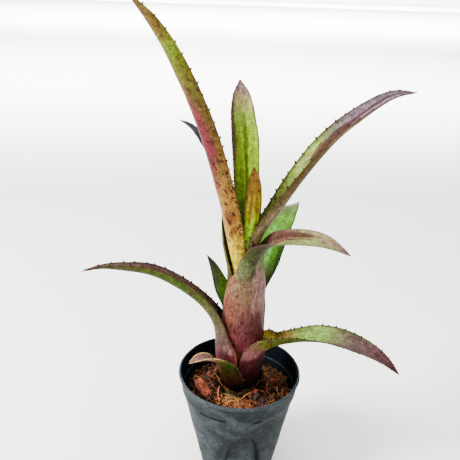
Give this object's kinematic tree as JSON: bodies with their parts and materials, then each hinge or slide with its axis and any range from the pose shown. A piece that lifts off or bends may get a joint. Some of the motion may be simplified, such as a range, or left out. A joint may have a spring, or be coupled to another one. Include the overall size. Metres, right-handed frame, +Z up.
{
  "type": "potted bromeliad",
  "caption": "Young tank bromeliad with a tube of nested sheaths and spiny arching leaves, growing from husk mix in a round plastic nursery pot.",
  "frame": {"origin": "centre of the pot's underside", "axes": "+Z up, +X to the right and -Y towards the side with the broad leaf that bends over to the right"},
  "size_m": [0.2396, 0.143, 0.3762],
  "materials": {
    "black_plastic": "satin black, dusty",
    "husk_mix": "rough",
    "stem_wood": "matt",
    "dry_leaf": "dry, papery",
    "leaf_tan": "waxy, mottled",
    "leaf_green": "waxy",
    "leaf_purple": "waxy, with grey scurf"
  },
  "bodies": {
    "root": {"pot": "black_plastic", "growing_mix": "husk_mix", "stem": "stem_wood", "dry_sheath": "dry_leaf", "leaf_tall_left": "leaf_tan", "leaf_upright_back": "leaf_green", "leaf_young_centre": "leaf_tan", "leaf_arching_right": "leaf_tan", "leaf_back_left": "leaf_green", "leaf_broad_back_right": "leaf_green", "leaf_front_right": "leaf_purple", "leaf_low_left": "leaf_purple", "leaf_short_back_left": "leaf_green", "leaf_low_right": "leaf_purple", "leaf_stub_front_left": "leaf_tan"}
  },
  "joints": []
}
